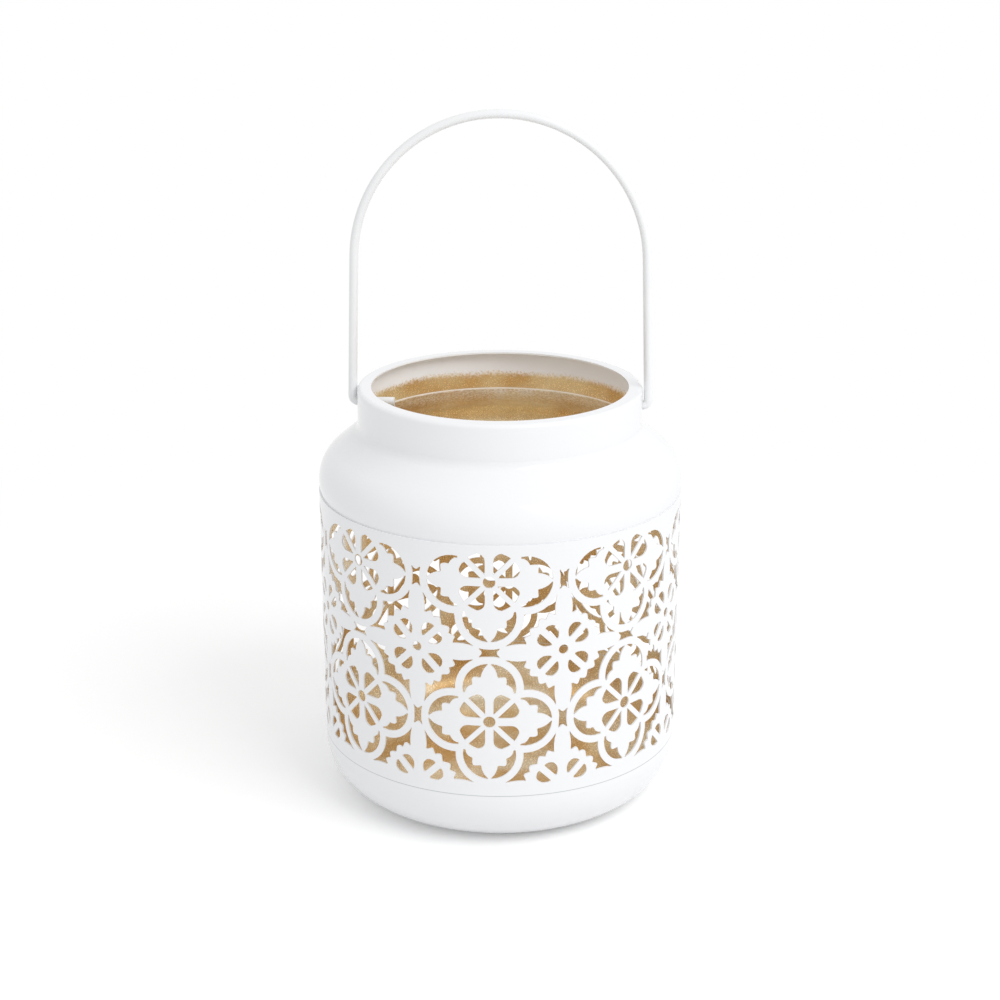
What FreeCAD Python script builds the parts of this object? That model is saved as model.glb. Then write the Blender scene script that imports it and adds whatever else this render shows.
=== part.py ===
import FreeCAD, Part
import math
import os

os.makedirs("parts", exist_ok=True)

# Driving lengths in millimetres, for the lantern standing on its base with +Z up
body_radius = 66.5
sheet = 0.6
overrun = 2.0

# Base pan
base_corner_radius = 21.0
pan_wall = 2.0
pan_tuck = 3.5

# Punched sleeve: two rows of tiles between plain bands
foot_band = 4.4
row_pitch = 52.0
top_band = 2.85

# Shoulder
shoulder_tuck = 2.3
bulge_lift = 4.0
bulge_inset = 0.1
shoulder_round_radius = 14.5
shoulder_turn = 50.0
shoulder_width = 14.7
neck_fillet_radius = 4.0

# Neck ring
neck_below_shoulder = 0.6
neck_rise = 13.1
rim_corner_radius = 1.5
lip_width = 5.1

# Bail handle
wire_radius = 1.6
pivot_drop = 7.0
pivot_clearance = 0.5
leg_clearance = 0.4
bend_radius = 2.2
leg_rise = 52.0
leg_inset = 1.6
long_end_reach = 13.3
short_end_reach = 4.5

# Ends nearer than this share of the sheet already touch
touching_share = 0.000001

# Pattern counts
tiles_around = 8
arc_steps = 8
corner_steps = 4
hole_steps = 20

# Pattern outlines, as shares of half a tile measured from the centre of a tile,
# of a rosette or of a tie
bar_share = 0.056
split_share = 0.036
eye_share = 0.082
petal_share = 0.402
petal_corner_share = 0.111
petal_arc_centre_share = 0.071
petal_arc_share = 0.340
petal_arc_start = 20.0
lobe_centre_share = 0.489
lobe_inner_share = 0.359
lobe_outer_share = 0.460
lobe_cut_start = 5.0
rosette_eye_share = 0.067
leaf_edge_shares = (
    (0.418, 0.352),
    (0.415, 0.336),
    (0.422, 0.324),
    (0.457, 0.317),
    (0.484, 0.305),
    (0.507, 0.282),
    (0.526, 0.255),
    (0.533, 0.234),
    (0.549, 0.228),
    (0.595, 0.232),
    (0.626, 0.228),
    (0.645, 0.216),
    (0.649, 0.198),
    (0.643, 0.125),
    (0.649, 0.111),
    (0.702, 0.102),
    (0.741, 0.086),
    (0.779, 0.067),
    (0.810, 0.040),
    (0.837, 0.017),
)
spandrel_edge_shares = (
    (0.899, 0.228),
    (0.900, 0.240),
    (0.888, 0.294),
    (0.880, 0.355),
    (0.878, 0.412),
    (0.880, 0.462),
    (0.884, 0.489),
    (0.856, 0.489),
    (0.833, 0.476),
    (0.802, 0.463),
    (0.783, 0.474),
    (0.770, 0.505),
    (0.756, 0.547),
    (0.725, 0.539),
    (0.691, 0.534),
    (0.668, 0.543),
    (0.656, 0.566),
    (0.652, 0.601),
)
spandrel_notch_share = 0.645
rosette_petal_shares = (
    (0.100, 0.168),
    (0.079, 0.165),
    (0.069, 0.192),
    (0.065, 0.238),
    (0.069, 0.280),
    (0.088, 0.319),
    (0.127, 0.357),
    (0.165, 0.367),
    (0.219, 0.357),
    (0.248, 0.338),
    (0.253, 0.321),
)
tie_edge_shares = (
    (0.052, 0.000),
    (0.054, 0.061),
    (0.060, 0.104),
    (0.069, 0.132),
    (0.060, 0.138),
    (0.044, 0.129),
    (0.023, 0.107),
)
tie_notch_share = 0.100

# Sizes that follow from those above
inner_radius = body_radius - sheet
neck_radius = body_radius - shoulder_width
seam_height = base_corner_radius + pan_wall
half_turn = math.pi
half_tile_angle = half_turn / tiles_around
half_pitch = row_pitch / 2
lowest_cut_share = 1 - min(across for across, up in rosette_petal_shares)
lower_row_height = seam_height + foot_band + half_pitch * lowest_cut_share
upper_row_height = lower_row_height + row_pitch
between_rows_height = lower_row_height + half_pitch
half_rosette_height = lower_row_height - half_pitch
sleeve_top = upper_row_height + half_pitch * petal_share + top_band
bulge_radius = body_radius - bulge_inset
bulge_height = sleeve_top + bulge_lift
cone_turn = math.radians(shoulder_turn)


def spot(radius, height):
    return FreeCAD.Vector(radius, 0, height)


def arc_spot(centre, radius, angle):
    return centre + spot(radius * math.cos(angle), radius * math.sin(angle))


def arc_edge(centre, radius, start, end):
    middle = (start + end) / 2
    first = arc_spot(centre, radius, start)
    halfway = arc_spot(centre, radius, middle)
    last = arc_spot(centre, radius, end)
    return Part.Arc(first, halfway, last).toShape()


def outline_face(pieces):
    # Arcs are edges and plain corners are points, joined by straight lines in turn
    starts = []
    ends = []
    for piece in pieces:
        if isinstance(piece, FreeCAD.Vector):
            starts.append(piece)
            ends.append(piece)
        else:
            starts.append(piece.firstVertex(True).Point)
            ends.append(piece.lastVertex(True).Point)
    edges = []
    for place, piece in enumerate(pieces):
        if not isinstance(piece, FreeCAD.Vector):
            edges.append(piece)
        following = (place + 1) % len(pieces)
        gap = starts[following] - ends[place]
        if gap.Length > sheet * touching_share:
            edges.append(Part.makeLine(ends[place], starts[following]))
    return Part.Face(Part.Wire(edges))


def spun(pieces):
    turn = math.degrees(2 * half_turn)
    return outline_face(pieces).revolve(FreeCAD.Vector(), FreeCAD.Vector(0, 0, 1), turn)


def base_pan():
    # A drawn pan whose wall steps in by one sheet, so that the sleeve sits flush on the step
    top = seam_height + pan_tuck
    centre = spot(body_radius - base_corner_radius, base_corner_radius)
    quarter = half_turn / 2
    return spun([
        FreeCAD.Vector(),
        arc_edge(centre, base_corner_radius, -quarter, 0),
        spot(body_radius, seam_height),
        spot(inner_radius, seam_height),
        spot(inner_radius, top),
        spot(inner_radius - sheet, top),
        spot(inner_radius - sheet, seam_height - sheet),
        spot(inner_radius, seam_height - sheet),
        arc_edge(centre, base_corner_radius - sheet, 0, -quarter),
        spot(0, sheet),
    ])


def neck_fillet():
    # Centre of the fillet that carries the cone up into the neck's wall. The cone is the
    # common tangent of the shoulder's round and this fillet.
    round_centre = spot(bulge_radius - shoulder_round_radius, bulge_height)
    fillet_x = neck_radius + neck_fillet_radius
    both_radii = shoulder_round_radius + neck_fillet_radius
    reach = both_radii - (fillet_x - round_centre.x) * math.cos(cone_turn)
    return spot(fillet_x, round_centre.z + reach / math.sin(cone_turn))


def turn_at_neck():
    # How far round the fillet's underside has turned where it reaches the neck's wall
    return math.acos(neck_fillet_radius / (neck_fillet_radius + sheet))


def shoulder():
    # A skirt inside the sleeve, a round bulge just above it, then a cone up to the neck
    centre = spot(bulge_radius - shoulder_round_radius, bulge_height)
    inner_round = shoulder_round_radius - sheet
    curl = bulge_radius - inner_radius
    curl_radius = (bulge_lift ** 2 + curl ** 2) / (2 * curl)
    curl_centre = spot(bulge_radius - curl_radius, bulge_height)
    outer_start = -math.asin(bulge_lift / curl_radius)
    inner_reach = inner_radius - sheet - curl_centre.x
    inner_start = -math.acos(inner_reach / (curl_radius - sheet))
    skirt_foot = sleeve_top - shoulder_tuck
    fillet = neck_fillet()
    under_radius = neck_fillet_radius + sheet
    return spun([
        spot(inner_radius, skirt_foot),
        arc_edge(curl_centre, curl_radius, outer_start, 0),
        arc_edge(centre, shoulder_round_radius, 0, cone_turn),
        arc_edge(fillet, neck_fillet_radius, half_turn + cone_turn, half_turn),
        arc_edge(fillet, under_radius, half_turn + turn_at_neck(), half_turn + cone_turn),
        arc_edge(centre, inner_round, cone_turn, 0),
        arc_edge(curl_centre, curl_radius - sheet, 0, inner_start),
        spot(inner_radius - sheet, skirt_foot),
    ])


def rim_height():
    return neck_fillet().z + neck_rise


def pivot_height():
    return rim_height() - pivot_drop


def neck_ring():
    # A short tube through the shoulder's opening, its top edge turned inward as a flat lip
    fillet = neck_fillet()
    under_rise = (neck_fillet_radius + sheet) * math.sin(turn_at_neck())
    foot = fillet.z - under_rise - neck_below_shoulder
    rim = rim_height()
    centre = spot(neck_radius - rim_corner_radius, rim - rim_corner_radius)
    lip_radius = neck_radius - lip_width
    quarter = half_turn / 2
    ring = spun([
        spot(neck_radius, foot),
        arc_edge(centre, rim_corner_radius, 0, quarter),
        spot(lip_radius, rim),
        spot(lip_radius, rim - sheet),
        arc_edge(centre, rim_corner_radius - sheet, quarter, 0),
        spot(neck_radius - sheet, foot),
    ])
    reach = neck_radius + overrun
    start = FreeCAD.Vector(-reach, 0, pivot_height())
    along = FreeCAD.Vector(1, 0, 0)
    drill = Part.makeCylinder(wire_radius + pivot_clearance, 2 * reach, start, along)
    return ring.cut(drill)


def bail_line(end_reach):
    # Centre line of one half of the handle, from the wire's end to the crown of the arch.
    # The legs lean in a little, as tangents to the bend below and the arch above.
    pivot = pivot_height()
    leg_x = neck_radius + leg_clearance + wire_radius
    bend_centre = spot(leg_x - bend_radius, pivot + bend_radius)
    arch_radius = leg_x - leg_inset
    arch_centre = spot(0, pivot + leg_rise)
    rise = arch_centre.z - bend_centre.z
    tilt = math.acos((arch_radius - bend_radius) / math.hypot(bend_centre.x, rise))
    lean = tilt - math.atan2(rise, bend_centre.x)
    quarter = half_turn / 2
    wire_end = spot(neck_radius - end_reach, pivot)
    bend = arc_edge(bend_centre, bend_radius, -quarter, lean)
    arch = arc_edge(arch_centre, arch_radius, lean, quarter)
    tail = Part.makeLine(wire_end, bend.Vertexes[0].Point)
    leg = Part.makeLine(bend.Vertexes[1].Point, arch.Vertexes[0].Point)
    return Part.Wire([tail, bend, leg, arch])


def bail_half(end_reach):
    path = bail_line(end_reach)
    start = path.Vertexes[0].Point
    ring = Part.makeCircle(wire_radius, start, FreeCAD.Vector(1, 0, 0))
    return path.makePipeShell([Part.Wire(ring)], True, False)


def bail_handle():
    # One round wire whose halves meet at the crown. The left end reaches further in.
    right = bail_half(short_end_reach)
    left = bail_half(long_end_reach).mirror(FreeCAD.Vector(), FreeCAD.Vector(1, 0, 0))
    return right.fuse(left).removeSplitter()


def arc_shares(centre_x, radius, start, end, steps=arc_steps):
    # Points on an arc about a centre that lies on the tile's level middle line
    points = []
    for step in range(steps + 1):
        angle = start + (end - start) * step / steps
        points.append((centre_x + radius * math.cos(angle), radius * math.sin(angle)))
    return points


def medallion_petal():
    # Half of the petal that fills one quarter, between a straight bar and the diagonal bar
    points = [(bar_share + split_share * math.sqrt(2), bar_share)]
    corner = petal_share - petal_corner_share
    for step in range(corner_steps + 1):
        angle = half_turn / 2 * step / corner_steps
        across = corner + petal_corner_share * math.sin(angle)
        points.append((across, bar_share + petal_corner_share * (1 - math.cos(angle))))
    first = math.radians(petal_arc_start)
    last = half_turn / 4 - math.asin(split_share / petal_arc_share)
    for across, up in arc_shares(petal_arc_centre_share, petal_arc_share, first, last):
        points.append((across, up + petal_arc_centre_share))
    return points


def lobe_cut():
    # Between the leaf and the inside of the ring round one lobe
    reach = leaf_edge_shares[0][0] - lobe_centre_share
    first = math.radians(lobe_cut_start)
    last = math.acos(reach / lobe_inner_share)
    arc = arc_shares(lobe_centre_share, lobe_inner_share, first, last)
    return arc + list(leaf_edge_shares[1:])


def spandrel():
    # Between two lobes, the two straight bands and the stepped edge round a rosette
    reach = spandrel_edge_shares[0][0] - lobe_centre_share
    first = math.acos(reach / lobe_outer_share)
    cusp = math.sqrt(2 * lobe_outer_share ** 2 - lobe_centre_share ** 2)
    cusp_place = (lobe_centre_share + cusp) / 2
    last = math.acos((cusp_place - lobe_centre_share) / lobe_outer_share)
    arc = arc_shares(lobe_centre_share, lobe_outer_share, last, first)
    side = arc + list(spandrel_edge_shares[1:])
    other = swapped(side)
    other.reverse()
    notch = (spandrel_notch_share, spandrel_notch_share)
    return side + [notch] + other[:-1]


def tie():
    # The waisted cut between two neighbouring rings
    side = list(tie_edge_shares)
    upper = side + [(0, tie_notch_share)] + flipped(side[:0:-1], -1, 1)
    return upper + flipped(upper[::-1], 1, -1)[1:-1]


def eye(radius):
    return arc_shares(0, radius, 0, 2 * half_turn, hole_steps)[:-1]


def swapped(outline):
    return [(up, across) for across, up in outline]


def flipped(outline, sideways, upright):
    return [(sideways * across, upright * up) for across, up in outline]


def four_ways(outline, uprights):
    copies = []
    for upright in uprights:
        for sideways in (-1, 1):
            copies.append(flipped(outline, sideways, upright))
    return copies


def medallion(uprights):
    # One tile's cuts round its centre: an upright of 1 is the upper half and -1 the lower
    petal = medallion_petal()
    cuts = [eye(eye_share)]
    cuts += four_ways(petal, (-1, 1))
    cuts += four_ways(swapped(petal), (-1, 1))
    cuts += four_ways(lobe_cut(), (-1, 1))
    cuts += four_ways(swapped(lobe_cut()), uprights)
    cuts += four_ways(spandrel(), uprights)
    return cuts


def rosette_half(side, uprights):
    # Only the petals that lie toward the middle of the tile, on one side of it
    cuts = []
    for outline in (list(rosette_petal_shares), swapped(rosette_petal_shares)):
        for upright in uprights:
            cuts.append(flipped(outline, -side, upright))
    return cuts


def punch(outline, centre_angle, centre_height):
    # A prism along the radius at the middle of its own outline
    angles = [across * half_tile_angle for across, up in outline]
    middle = (min(angles) + max(angles)) / 2
    base = body_radius - overrun
    corners = []
    for (across, up), angle in zip(outline, angles):
        sideways = body_radius * math.sin(angle - middle)
        height = centre_height + up * half_pitch
        corners.append(FreeCAD.Vector(sideways, -base, height))
    corners.append(corners[0])
    prism = Part.Face(Part.makePolygon(corners)).extrude(FreeCAD.Vector(0, -2 * overrun, 0))
    turn = math.degrees(centre_angle + middle)
    prism.rotate(FreeCAD.Vector(), FreeCAD.Vector(0, 0, 1), turn)
    return prism


def middle_punches():
    # The cuts about the middle line of one column of tiles
    cuts = [punch(outline, 0, lower_row_height) for outline in medallion((-1, 1))]
    cuts += [punch(outline, 0, upper_row_height) for outline in medallion((-1,))]
    cuts.append(punch(swapped(tie()), 0, between_rows_height))
    return cuts


def side_punches(side):
    # The cuts at one side of the column, where it meets the next
    angle = side * half_tile_angle
    cuts = [punch(eye(rosette_eye_share), angle, between_rows_height)]
    cuts += [punch(outline, angle, between_rows_height) for outline in rosette_half(side, (-1, 1))]
    cuts += [punch(outline, angle, half_rosette_height) for outline in rosette_half(side, (1,))]
    cuts += [punch(tie(), angle, height) for height in (lower_row_height, upper_row_height)]
    return cuts


def sleeve_column():
    # The strip of sleeve, one tile wide, that faces the front
    turn = math.degrees(2 * half_tile_angle)
    foot = spot(0, seam_height)
    sleeve_height = sleeve_top - seam_height
    upward = FreeCAD.Vector(0, 0, 1)
    outer = Part.makeCylinder(body_radius, sleeve_height, foot, upward, turn)
    inner = Part.makeCylinder(inner_radius, sleeve_height, foot, upward, turn)
    strip = outer.cut(inner)
    front = math.degrees(-half_turn / 2 - half_tile_angle)
    strip.rotate(FreeCAD.Vector(), upward, front)
    return strip.cut(middle_punches() + side_punches(-1) + side_punches(1))


def punched_sleeve():
    # The strip is doubled until it goes all the way round
    sleeve = sleeve_column()
    columns = 1
    while columns < tiles_around:
        other = sleeve.copy()
        turn = math.degrees(columns * 2 * half_tile_angle)
        other.rotate(FreeCAD.Vector(), FreeCAD.Vector(0, 0, 1), turn)
        sleeve = sleeve.fuse(other)
        columns *= 2
    return sleeve


def save(name, shape):
    shape.exportStep("parts/" + name + ".step")
    print(name, len(shape.Solids), "solid of volume", round(shape.Volume, 2))


save("base_pan", base_pan())
save("shoulder", shoulder())
save("neck_ring", neck_ring())
save("bail_handle", bail_handle())
save("punched_sleeve", punched_sleeve())
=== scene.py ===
import math

import bpy
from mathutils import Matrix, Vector

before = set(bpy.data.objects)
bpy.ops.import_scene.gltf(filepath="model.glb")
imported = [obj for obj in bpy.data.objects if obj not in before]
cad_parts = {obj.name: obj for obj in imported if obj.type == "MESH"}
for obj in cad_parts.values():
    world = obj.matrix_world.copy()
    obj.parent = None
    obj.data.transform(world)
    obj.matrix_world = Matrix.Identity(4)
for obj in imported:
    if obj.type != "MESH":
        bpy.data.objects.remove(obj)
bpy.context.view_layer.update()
print("frame loaded:", ", ".join(sorted(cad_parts)))

millimetre = 0.001
smooth = {"interpolation_type": "SMOOTHSTEP"}
colourMix = {"data_type": "RGBA"}


def linear(hexColour):
    # sRGB hex to the linear colour that the sockets take
    channels = [int(hexColour[i:i + 2], 16) / 255 for i in (1, 3, 5)]
    return [c / 12.92 if c <= 0.04045 else ((c + 0.055) / 1.055) ** 2.4 for c in channels] + [1.0]


def addNode(tree, kind, settings=None, inputs=None):
    # settings are the node's own fields; an input is a value, or a socket to link from
    node = tree.nodes.new(kind)
    for field, value in (settings or {}).items():
        setattr(node, field, value)
    for socket, value in (inputs or {}).items():
        if isinstance(value, bpy.types.NodeSocket):
            tree.links.new(value, node.inputs[socket])
        else:
            node.inputs[socket].default_value = value
    return node


def newMaterial(name):
    material = bpy.data.materials.new(name)
    material.use_nodes = True
    material.node_tree.nodes.clear()
    return material, material.node_tree


def dress(nodeName, material):
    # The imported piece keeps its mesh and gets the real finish
    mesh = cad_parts[nodeName].data
    mesh.materials.clear()
    mesh.materials.append(material)


# The camera stands where the photograph's did
camera = {
    "distance": 0.68113,     # metres from the lantern's axis, along the floor
    "height": 0.34246,       # metres above the floor
    "round": 3.2,            # degrees from the front, towards the right-hand pivot
    "down": 18.79,           # degrees below level
    "lens": 69.98,           # mm
    "sensor": 36.0,          # mm
    "nearest": 0.01,         # metres
    "furthest": 20.0,        # metres
}


def placeCamera(c):
    data = bpy.data.cameras.new("photoCamera")
    data.lens = c["lens"]
    data.sensor_width = c["sensor"]
    data.clip_start = c["nearest"]
    data.clip_end = c["furthest"]
    obj = bpy.data.objects.new("photoCamera", data)
    turn = math.radians(c["round"])
    obj.location = (c["distance"] * math.sin(turn), -c["distance"] * math.cos(turn), c["height"])
    obj.rotation_euler = (math.radians(90 - c["down"]), 0, turn)
    bpy.context.scene.collection.objects.link(obj)
    bpy.context.scene.camera = obj


placeCamera(camera)
print("camera placed")


def perMetre(size):
    # A noise texture's scale, for a pattern whose features are this many mm apart
    return 1 / (size * millimetre)


def orangePeel(tree, position, p):
    # The faint waviness of a powder coat, as a normal for the shader
    peel = addNode(tree, "ShaderNodeTexNoise", inputs={
        "Vector": position, "Scale": perMetre(p["peelSize"]), "Detail": 1.0})
    bump = addNode(tree, "ShaderNodeBump", inputs={
        "Height": peel.outputs["Fac"], "Strength": 1.0, "Distance": p["peelDepth"] * millimetre})
    return bump.outputs[0]


def lineAt(tree, heightSocket, height, reach):
    # 1 on a level line round the lantern, fading to 0 within its reach; both in mm
    apart = addNode(tree, "ShaderNodeMath", {"operation": "SUBTRACT"}, {
        0: heightSocket, 1: height * millimetre})
    distance = addNode(tree, "ShaderNodeMath", {"operation": "ABSOLUTE"}, {0: apart.outputs[0]})
    line = addNode(tree, "ShaderNodeMapRange", smooth, {
        "Value": distance.outputs[0], "From Min": reach * millimetre, "From Max": 0.0})
    return line.outputs[0]


# Painted sheet: white polyester powder coat outside, sprayed gold lacquer inside.
# The white reads as a soft even gloss with a trace of orange peel; the gold as a fine metallic
# with white overspray where the outer coat blew in through the mouth.
# Heights, sizes and depths are in mm.
paintedSheet = {
    "white": "#EEEFF1",
    "whiteRoughness": 0.08,
    "gloss": 0.85,            # a thick glossy coat throws back a little more than plain paint
    "peelSize": 1.6,
    "peelDepth": 0.005,
    "inwardFrom": -0.20,      # cosine between a face and the way out from the axis, where the
    "inwardTo": -0.40,        # outer coat ends and where the inner one is whole
    "axisLow": 30.0,          # between these heights the wall stands upright
    "axisHigh": 125.0,
    # Gold
    "bodyGoldPaintedLight": "#FFF7E2",    # painted light: the wall's gold, lighter to make up for the shade inside
    "bodyGoldDeep": "#E2C088",
    "mouthGoldPaintedShade": "#F1DCAC",   # and darker round the mouth, where more light gets in: painted shade
    "mouthGoldDeep": "#DAB476",
    "mouthFrom": 104.0,
    "mouthTo": 128.0,
    "goldMetallic": 0.62,
    "goldRoughness": 0.26,
    "cloudSize": 26.3158,     # the uneven passes of the gun
    "cloudDetail": 4.0,
    "cloudRoughness": 0.6,
    "patchFrom": 0.36,        # cloud noise up to here stays the lighter gold
    "patchTo": 0.64,          # and from here on is the deeper one
    "flakeSize": 0.35,        # real flake is ten times finer and wouldn't show
    "flakeSmoother": 0.03,    # what the flake takes off the gold's roughness at most
    "flakeRougher": 0.04,     # and what it adds
    # Overspray
    "sprayWhiteWithPaintedLight": "#FAFCFF",  # the white overspray, painted lighter than the outer coat: painted light in the shaded inside
    "lipSprayFrom": 144.0,    # between these heights the neck's inside turns white
    "lipSprayFull": 147.0,
    "coneSprayFrom": 128.5,   # between these the cone under the neck gets its white dust
    "coneSprayFull": 136.5,
    "coneSprayMost": 0.75,
    "coneTop": 139.2,
    "speckSize": 0.9,
    "speckDetail": 3.0,
    "speckRoughness": 0.7,
    "speckThrow": 5.0,        # how far the specks move the spray's edge up and down
    "driftSize": 16.6667,
    "driftDetail": 2.0,
    "driftThrow": 2.5,        # and how far its slow drift round the lantern does
    "dotFrom": 0.42,          # speck noise up to here lies between the dots of dust
    "dotTo": 0.60,            # and from here on inside one
    "dotLeast": 0.25,         # share of the dust that is left between them
    "neckFootSprayAndHighlight": 139.5,        # the neck's lower edge: a thin white line of overspray, with a painted highlight where the edge catches the light
    "neckFootReach": 0.45,
    # Seam
    "panSeam": 23.0,          # the sleeve stands on the pan here
    "seamReach": 0.24,
    "seamShade": "#B6B9BC",   # the bare shadow in the seam
}


def makePaintedSheet(p):
    material, tree = newMaterial("powderCoatAndGoldLacquer")
    place = addNode(tree, "ShaderNodeTexCoord")
    position = place.outputs["Object"]
    parts = addNode(tree, "ShaderNodeSeparateXYZ", inputs={0: position})
    height = parts.outputs["Z"]

    # Nearest point of the lantern's axis, so that inward faces can be told from outward ones
    onAxis = addNode(tree, "ShaderNodeClamp", inputs={
        "Value": height,
        "Min": p["axisLow"] * millimetre, "Max": p["axisHigh"] * millimetre})
    axisPoint = addNode(tree, "ShaderNodeCombineXYZ", inputs={"Z": onAxis.outputs[0]})
    outward = addNode(tree, "ShaderNodeVectorMath", {"operation": "SUBTRACT"}, {
        0: position, 1: axisPoint.outputs[0]})
    unit = addNode(tree, "ShaderNodeVectorMath", {"operation": "NORMALIZE"}, {
        0: outward.outputs[0]})
    facing = addNode(tree, "ShaderNodeVectorMath", {"operation": "DOT_PRODUCT"}, {
        0: unit.outputs[0], 1: place.outputs["Normal"]})
    inside = addNode(tree, "ShaderNodeMapRange", smooth, {
        "Value": facing.outputs["Value"],
        "From Min": p["inwardFrom"], "From Max": p["inwardTo"]})

    # Overspray: two heights with a speckled edge. The noises only ever add height, so both
    # edges go up by half of what they can add.
    specks = addNode(tree, "ShaderNodeTexNoise", inputs={
        "Vector": position, "Scale": perMetre(p["speckSize"]),
        "Detail": p["speckDetail"], "Roughness": p["speckRoughness"]})
    drift = addNode(tree, "ShaderNodeTexNoise", inputs={
        "Vector": position, "Scale": perMetre(p["driftSize"]), "Detail": p["driftDetail"]})
    scatter = addNode(tree, "ShaderNodeMath", {"operation": "MULTIPLY_ADD"}, {
        0: specks.outputs["Fac"], 1: p["speckThrow"] * millimetre, 2: height})
    wander = addNode(tree, "ShaderNodeMath", {"operation": "MULTIPLY_ADD"}, {
        0: drift.outputs["Fac"], 1: p["driftThrow"] * millimetre, 2: scatter.outputs[0]})
    middle = (p["speckThrow"] + p["driftThrow"]) / 2 * millimetre
    lipSpray = addNode(tree, "ShaderNodeMapRange", smooth, {
        "Value": wander.outputs[0],
        "From Min": p["lipSprayFrom"] * millimetre + middle,
        "From Max": p["lipSprayFull"] * millimetre + middle})
    coneSpray = addNode(tree, "ShaderNodeMapRange", smooth, {
        "Value": wander.outputs[0],
        "From Min": p["coneSprayFrom"] * millimetre + middle,
        "From Max": p["coneSprayFull"] * millimetre + middle,
        "To Max": p["coneSprayMost"]})
    underNeck = addNode(tree, "ShaderNodeMath", {"operation": "LESS_THAN"}, {
        0: height, 1: p["coneTop"] * millimetre})
    coneOnly = addNode(tree, "ShaderNodeMath", {"operation": "MULTIPLY"}, {
        0: coneSpray.outputs[0], 1: underNeck.outputs[0]})
    dots = addNode(tree, "ShaderNodeMapRange", smooth, {
        "Value": specks.outputs["Fac"],
        "From Min": p["dotFrom"], "From Max": p["dotTo"], "To Min": p["dotLeast"]})
    coneDots = addNode(tree, "ShaderNodeMath", {"operation": "MULTIPLY"}, {
        0: coneOnly.outputs[0], 1: dots.outputs[0]})
    # A thin white line at the neck's foot: overspray on the edge and a painted highlight
    neckFootSprayAndHighlight = lineAt(tree, height, p["neckFootSprayAndHighlight"], p["neckFootReach"])
    lowSprayAndHighlight = addNode(tree, "ShaderNodeMath", {"operation": "MAXIMUM"}, {
        0: coneDots.outputs[0], 1: neckFootSprayAndHighlight})
    # All the spray masks, the neck foot's painted highlight among them
    spray = addNode(tree, "ShaderNodeMath", {"operation": "MAXIMUM"}, {
        0: lipSpray.outputs[0], 1: lowSprayAndHighlight.outputs[0]})
    unsprayed = addNode(tree, "ShaderNodeMath", {"operation": "SUBTRACT"}, {
        0: 1.0, 1: spray.outputs[0]})
    gold = addNode(tree, "ShaderNodeMath", {"operation": "MULTIPLY"}, {
        0: unsprayed.outputs[0], 1: inside.outputs[0]})

    # The gold: random patches of a lighter and a deeper colour, painted lighter down the wall and
    # darker round the mouth: painted light and shade by height
    cloud = addNode(tree, "ShaderNodeTexNoise", inputs={
        "Vector": position, "Scale": perMetre(p["cloudSize"]),
        "Detail": p["cloudDetail"], "Roughness": p["cloudRoughness"]})
    patches = addNode(tree, "ShaderNodeMapRange", smooth, {
        "Value": cloud.outputs["Fac"], "From Min": p["patchFrom"], "From Max": p["patchTo"]})
    bodyGoldPaintedLight = addNode(tree, "ShaderNodeMix", colourMix, {
        "Factor": patches.outputs[0],
        "A": linear(p["bodyGoldPaintedLight"]), "B": linear(p["bodyGoldDeep"])})
    mouthGoldPaintedShade = addNode(tree, "ShaderNodeMix", colourMix, {
        "Factor": patches.outputs[0],
        "A": linear(p["mouthGoldPaintedShade"]), "B": linear(p["mouthGoldDeep"])})
    # From the wall's painted light to the mouth's painted shade, by height
    nearMouth = addNode(tree, "ShaderNodeMapRange", smooth, {
        "Value": height,
        "From Min": p["mouthFrom"] * millimetre, "From Max": p["mouthTo"] * millimetre})
    goldColour = addNode(tree, "ShaderNodeMix", colourMix, {
        "Factor": nearMouth.outputs[0],
        "A": bodyGoldPaintedLight.outputs["Result"], "B": mouthGoldPaintedShade.outputs["Result"]})

    # The white, with the painted shadow of the pan's seam, and the gold over it
    seam = lineAt(tree, height, p["panSeam"], p["seamReach"])
    # Inward faces take the overspray white, painted lighter than the coat outside: painted light
    coat = addNode(tree, "ShaderNodeMix", colourMix, {
        "Factor": inside.outputs[0], "A": linear(p["white"]), "B": linear(p["sprayWhiteWithPaintedLight"])})
    whiteColour = addNode(tree, "ShaderNodeMix", colourMix, {
        "Factor": seam, "A": coat.outputs["Result"], "B": linear(p["seamShade"])})
    colour = addNode(tree, "ShaderNodeMix", colourMix, {
        "Factor": gold.outputs[0],
        "A": whiteColour.outputs["Result"], "B": goldColour.outputs["Result"]})

    metal = addNode(tree, "ShaderNodeMath", {"operation": "MULTIPLY"}, {
        0: gold.outputs[0], 1: p["goldMetallic"]})
    flake = addNode(tree, "ShaderNodeTexNoise", inputs={
        "Vector": position, "Scale": perMetre(p["flakeSize"]), "Detail": 1.0})
    goldRough = addNode(tree, "ShaderNodeMapRange", inputs={
        "Value": flake.outputs["Fac"],
        "To Min": p["goldRoughness"] - p["flakeSmoother"],
        "To Max": p["goldRoughness"] + p["flakeRougher"]})
    rough = addNode(tree, "ShaderNodeMix", {"data_type": "FLOAT"}, {
        "Factor": gold.outputs[0], "A": p["whiteRoughness"], "B": goldRough.outputs[0]})
    shader = addNode(tree, "ShaderNodeBsdfPrincipled", inputs={
        "Base Color": colour.outputs["Result"], "Metallic": metal.outputs[0],
        "Roughness": rough.outputs[0], "Specular IOR Level": p["gloss"],
        "Normal": orangePeel(tree, position, p)})
    addNode(tree, "ShaderNodeOutputMaterial", inputs={"Surface": shader.outputs[0]})
    return material


# Painted wire: the same white coat on drawn steel wire. It reads as a softer gloss, with a finer
# and deeper orange peel than the sheet's. Sizes and depths are in mm.
paintedWire = {
    "white": "#F0F1F2",
    "roughness": 0.30,
    "peelSize": 1.1,
    "peelDepth": 0.010,
    "shade": "#E9EAEB",       # where the coat is thinner
    "shadeSize": 14.2857,
    "shadeDetail": 3.0,
}


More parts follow.
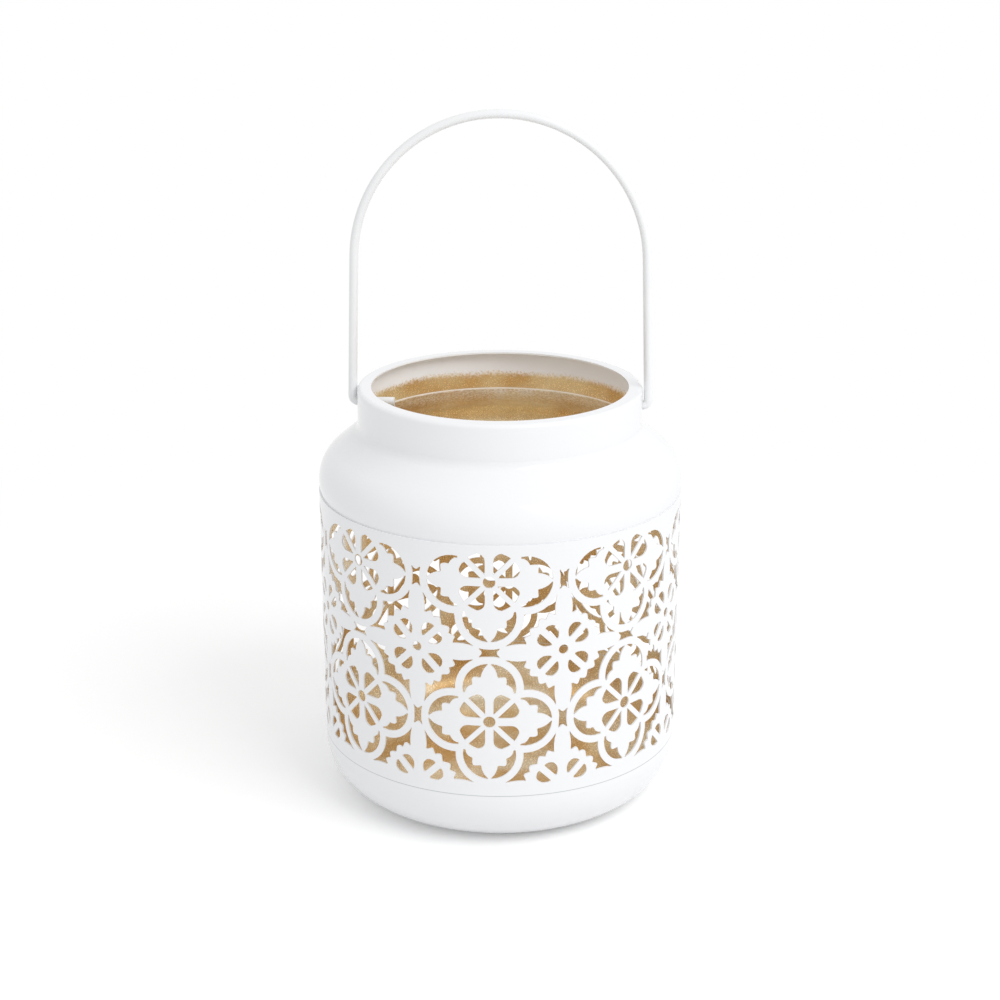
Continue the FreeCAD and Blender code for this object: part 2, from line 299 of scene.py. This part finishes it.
def makePaintedWire(p):
    material, tree = newMaterial("powderCoatedWire")
    position = addNode(tree, "ShaderNodeTexCoord").outputs["Object"]
    cloud = addNode(tree, "ShaderNodeTexNoise", inputs={
        "Vector": position, "Scale": perMetre(p["shadeSize"]), "Detail": p["shadeDetail"]})
    colour = addNode(tree, "ShaderNodeMix", colourMix, {
        "Factor": cloud.outputs["Fac"], "A": linear(p["white"]), "B": linear(p["shade"])})
    shader = addNode(tree, "ShaderNodeBsdfPrincipled", inputs={
        "Base Color": colour.outputs["Result"], "Roughness": p["roughness"],
        "Normal": orangePeel(tree, position, p)})
    addNode(tree, "ShaderNodeOutputMaterial", inputs={"Surface": shader.outputs[0]})
    return material


sheetPaint = makePaintedSheet(paintedSheet)
wirePaint = makePaintedWire(paintedWire)
for nodeName in ("base_pan", "punched_sleeve", "shoulder", "neck_ring"):
    dress(nodeName, sheetPaint)
dress("bail_handle", wirePaint)
print("paint on all pieces")


# Studio: a pale floor that keeps the shadow and fades into white, one softbox high on the
# right, and even white light from all round. Sizes and places are in metres.
studio = {
    "floorSize": 6.0,
    "floorColour": "#F4F4F4",
    "floorLift": 0.18,       # light added for the eye alone, so that open floor is white
    "fadeFrom": 0.14,        # from the lantern's axis
    "fadeTo": 0.45,
    "worldLevel": 0.77,
    "keyPower": 9.6,         # watts
    "keySize": (1.0, 0.75),
    "keyPlace": (0.857, -0.689, 1.15),
    "keyAim": (0, 0, 0.10),
}


def makeSoftbox(s):
    data = bpy.data.lights.new("keySoftbox", "AREA")
    data.shape = "RECTANGLE"
    data.size, data.size_y = s["keySize"]
    data.energy = s["keyPower"]
    obj = bpy.data.objects.new("keySoftbox", data)
    obj.location = s["keyPlace"]
    back = Vector(s["keyPlace"]) - Vector(s["keyAim"])
    obj.rotation_euler = back.to_track_quat("Z", "Y").to_euler()
    bpy.context.scene.collection.objects.link(obj)


def seenDirectly(tree):
    # 1 for what the eye sees straight, by reflection or through something clear
    rays = addNode(tree, "ShaderNodeLightPath")
    direct = addNode(tree, "ShaderNodeMath", {"operation": "MAXIMUM"}, {
        0: rays.outputs["Is Camera Ray"], 1: rays.outputs["Is Glossy Ray"]})
    seen = addNode(tree, "ShaderNodeMath", {"operation": "MAXIMUM"}, {
        0: direct.outputs[0], 1: rays.outputs["Is Transmission Ray"]})
    return seen.outputs[0]


def makeFloor(s):
    # Matt pale paper: it takes the shadow near the lantern and reads as pure white further out
    half = s["floorSize"] / 2
    mesh = bpy.data.meshes.new("studioFloor")
    mesh.from_pydata([(-half, -half, 0), (half, -half, 0), (half, half, 0), (-half, half, 0)],
                     [], [(0, 1, 2, 3)])
    floor = bpy.data.objects.new("studioFloor", mesh)
    bpy.context.scene.collection.objects.link(floor)
    material, tree = newMaterial("paleStudioFloor")
    seen = seenDirectly(tree)
    lift = addNode(tree, "ShaderNodeMath", {"operation": "MULTIPLY"}, {0: seen, 1: s["floorLift"]})
    matt = addNode(tree, "ShaderNodeBsdfDiffuse", inputs={"Color": linear(s["floorColour"])})
    glow = addNode(tree, "ShaderNodeEmission", inputs={"Strength": lift.outputs[0]})
    near = addNode(tree, "ShaderNodeAddShader", inputs={0: matt.outputs[0], 1: glow.outputs[0]})
    place = addNode(tree, "ShaderNodeTexCoord")
    away = addNode(tree, "ShaderNodeVectorMath", {"operation": "LENGTH"}, {
        0: place.outputs["Object"]})
    fade = addNode(tree, "ShaderNodeMapRange", smooth, {
        "Value": away.outputs["Value"], "From Min": s["fadeFrom"], "From Max": s["fadeTo"]})
    share = addNode(tree, "ShaderNodeMath", {"operation": "MULTIPLY"}, {
        0: fade.outputs[0], 1: seen})
    white = addNode(tree, "ShaderNodeEmission", inputs={"Strength": 1.0})
    surface = addNode(tree, "ShaderNodeMixShader", inputs={
        0: share.outputs[0], 1: near.outputs[0], 2: white.outputs[0]})
    addNode(tree, "ShaderNodeOutputMaterial", inputs={"Surface": surface.outputs[0]})
    mesh.materials.append(material)


def makeWorld(s):
    world = bpy.data.worlds.new("whiteStudio")
    bpy.context.scene.world = world
    world.use_nodes = True
    tree = world.node_tree
    tree.nodes.clear()
    level = addNode(tree, "ShaderNodeMapRange", inputs={
        "Value": seenDirectly(tree), "To Min": s["worldLevel"], "To Max": 1.0})
    background = addNode(tree, "ShaderNodeBackground", inputs={
        "Color": (1, 1, 1, 1), "Strength": level.outputs[0]})
    addNode(tree, "ShaderNodeOutputWorld", inputs={"Surface": background.outputs[0]})


makeFloor(studio)
makeWorld(studio)
makeSoftbox(studio)
bpy.context.scene.view_settings.view_transform = "Standard"
print("studio lit")
